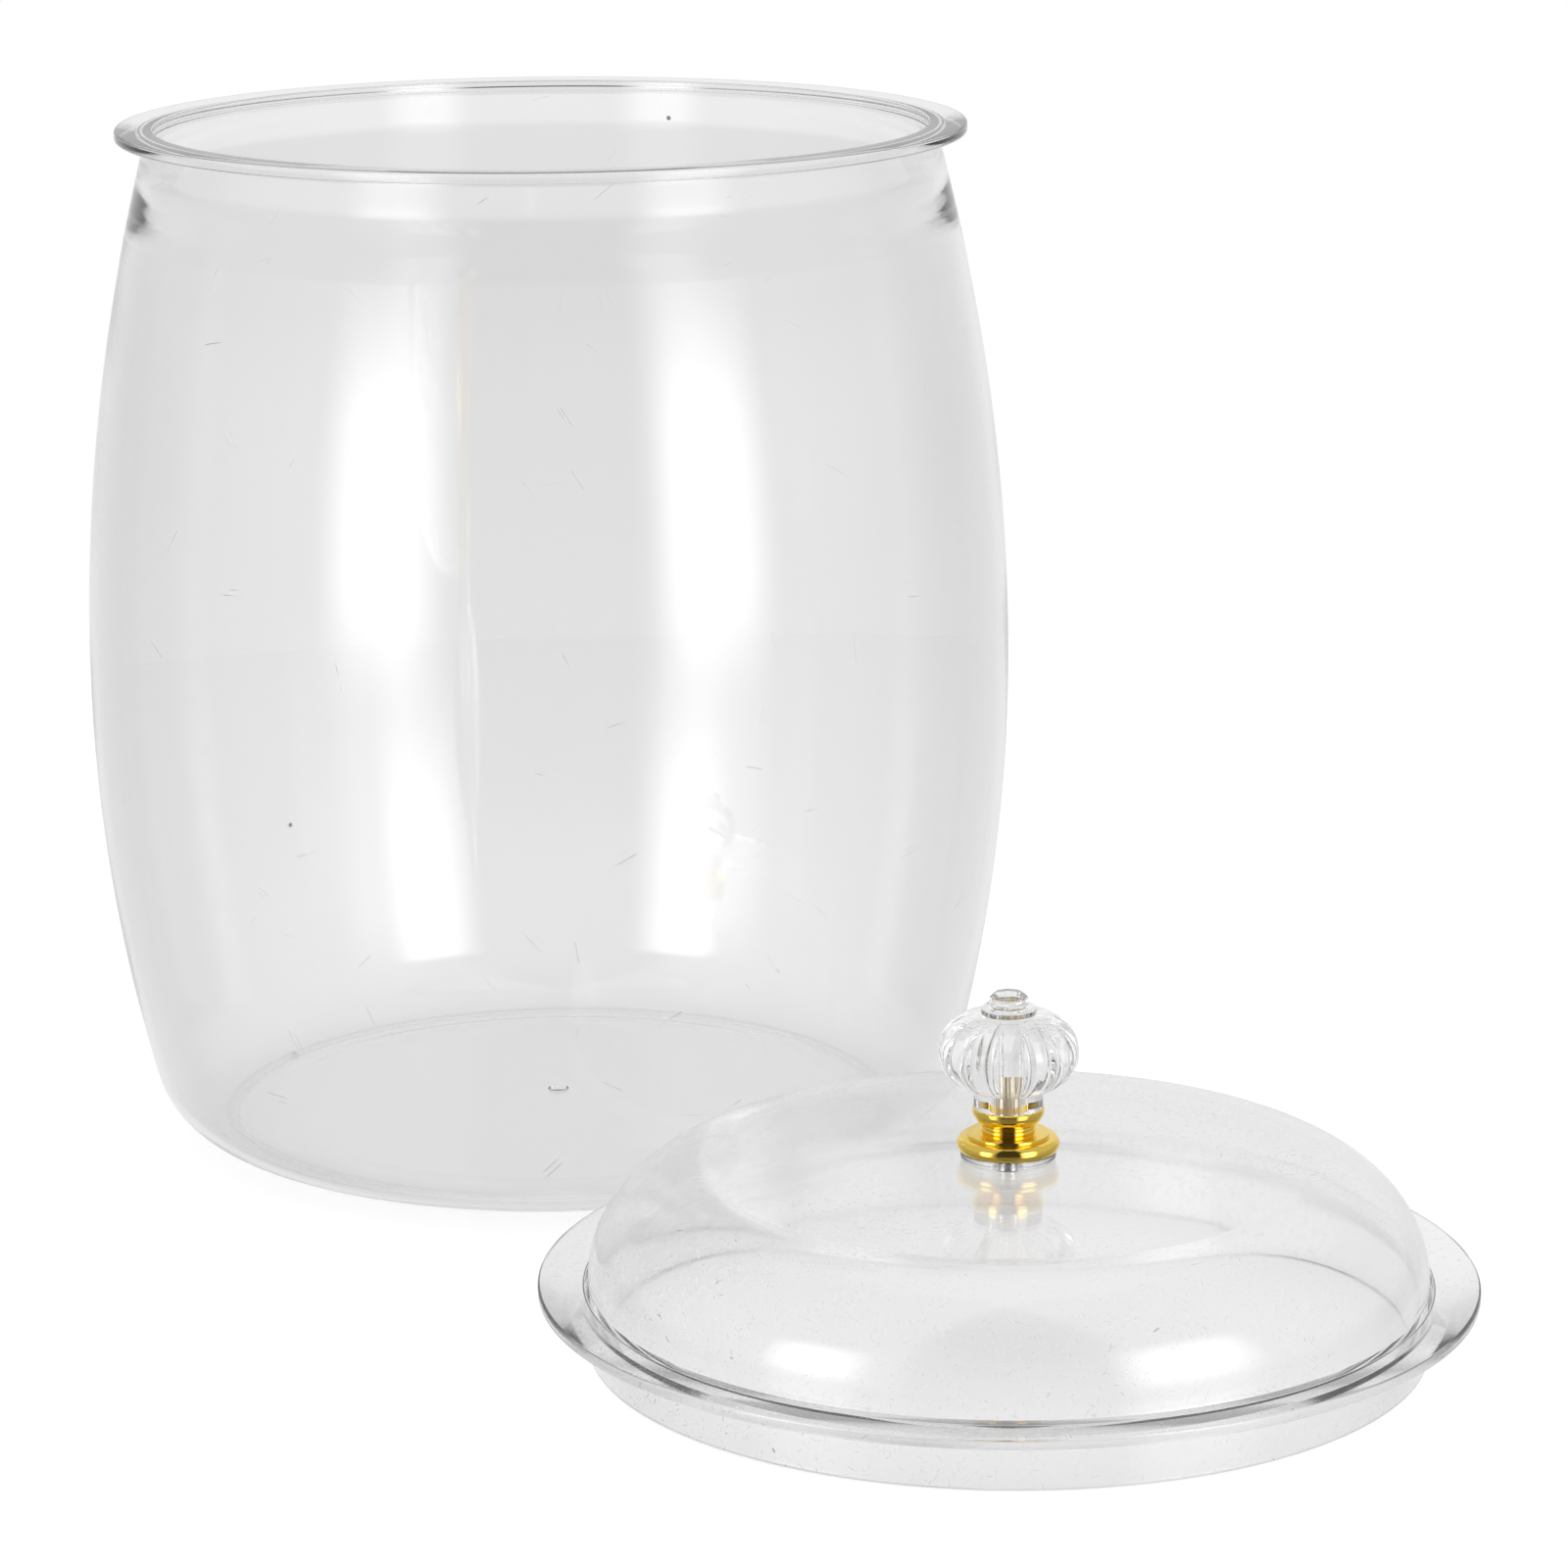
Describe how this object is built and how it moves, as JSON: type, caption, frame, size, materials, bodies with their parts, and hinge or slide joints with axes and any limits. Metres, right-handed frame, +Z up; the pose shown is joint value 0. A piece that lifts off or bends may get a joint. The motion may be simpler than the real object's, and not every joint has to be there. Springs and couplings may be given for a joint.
{
  "type": "storage canister",
  "caption": "Clear plastic barrel-shaped storage canister with a domed plug-in lid and a ribbed clear knob on a gold base, lid set down beside it.",
  "frame": {"origin": "on the canister's axis, at the floor plane that its foot ring stands on, which is the mouth plane of the recess under its base", "axes": "+Z up along the canister's axis out of its mouth; the lid lies towards +X and -Y, which is the side the picture is taken from"},
  "size_m": [0.3135, 0.3813, 0.2421],
  "materials": {
    "canister_plastic": "clear moulded plastic, glossy, lightly scuffed",
    "lid_plastic": "clear moulded plastic, glossy, fine hair scratches",
    "washer_plastic": "clear moulded plastic, glossy",
    "knob_acrylic": "clear cut acrylic, polished",
    "gold_plate": "bright gold plating, mirror polished",
    "brass": "machined brass",
    "steel": "zinc-plated steel"
  },
  "bodies": {
    "canister": {"canister_body": "canister_plastic"},
    "lid": {"lid_shell": "lid_plastic", "steel_washer": "steel", "clear_washer": "washer_plastic"},
    "knob": {"knob_base": "gold_plate", "knob_head": "knob_acrylic", "knob_insert": "brass", "knob_screw": "steel"}
  },
  "joints": [
    {"name": "lid_lift", "type": "slide", "parent": "canister", "child": "lid", "axis": [0.1424, -0.236, 0.9613], "range_m": [0, 0.265]},
    {"name": "knob_turn", "type": "hinge", "parent": "lid", "child": "knob", "pos_m": [0.10303, -0.17079, 0.0409], "axis": [0, 0, 1], "continuous": true}
  ]
}
